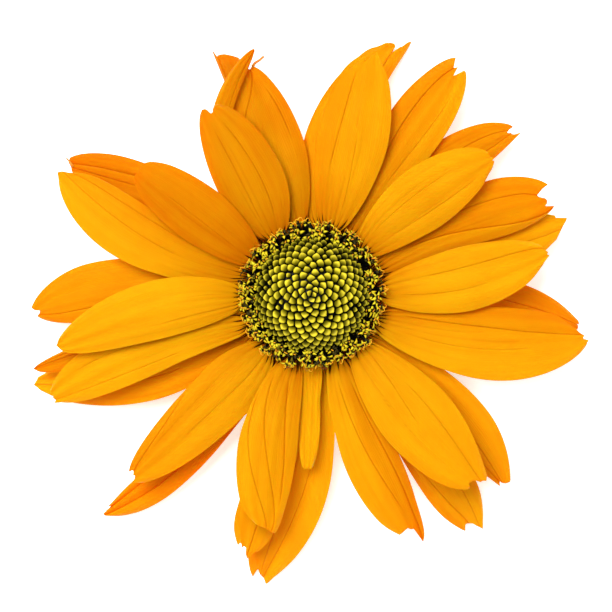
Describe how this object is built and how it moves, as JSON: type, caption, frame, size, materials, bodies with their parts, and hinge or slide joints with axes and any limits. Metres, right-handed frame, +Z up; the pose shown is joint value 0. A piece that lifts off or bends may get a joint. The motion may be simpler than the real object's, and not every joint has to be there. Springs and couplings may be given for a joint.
{
  "type": "ornamental sunflower",
  "caption": "Cut sunflower head with layered notched yellow rays, a domed spiral disc, green bracts and a short stem stub, lying face up.",
  "frame": {"origin": "under the middle of the head's own box, on the surface that it lies on", "axes": "+Z up along the stem, out of the face of the flower; +Y to the top of the picture, +X to its right"},
  "size_m": [0.101, 0.0986, 0.022],
  "materials": {
    "stem": "matte",
    "bracts": "matte",
    "open_florets": "matte",
    "buds": "satin",
    "petal": "satin"
  },
  "bodies": {
    "root": {"stem": "stem", "involucre": "bracts", "disc_florets": "open_florets", "disc_buds": "buds", "ray_01": "petal", "ray_02": "petal", "ray_03": "petal", "ray_04": "petal", "ray_05": "petal", "ray_06": "petal", "ray_07": "petal", "ray_08": "petal", "ray_09": "petal", "ray_10": "petal", "ray_11": "petal", "ray_12": "petal", "ray_13": "petal", "ray_14": "petal", "ray_15": "petal", "ray_16": "petal", "ray_17": "petal", "ray_18": "petal", "ray_19": "petal", "ray_20": "petal", "ray_21": "petal", "ray_22": "petal", "ray_23": "petal", "ray_24": "petal", "ray_25": "petal", "ray_26": "petal", "ray_27": "petal", "ray_28": "petal", "ray_29": "petal", "ray_30": "petal", "ray_31": "petal", "ray_32": "petal"}
  },
  "joints": []
}
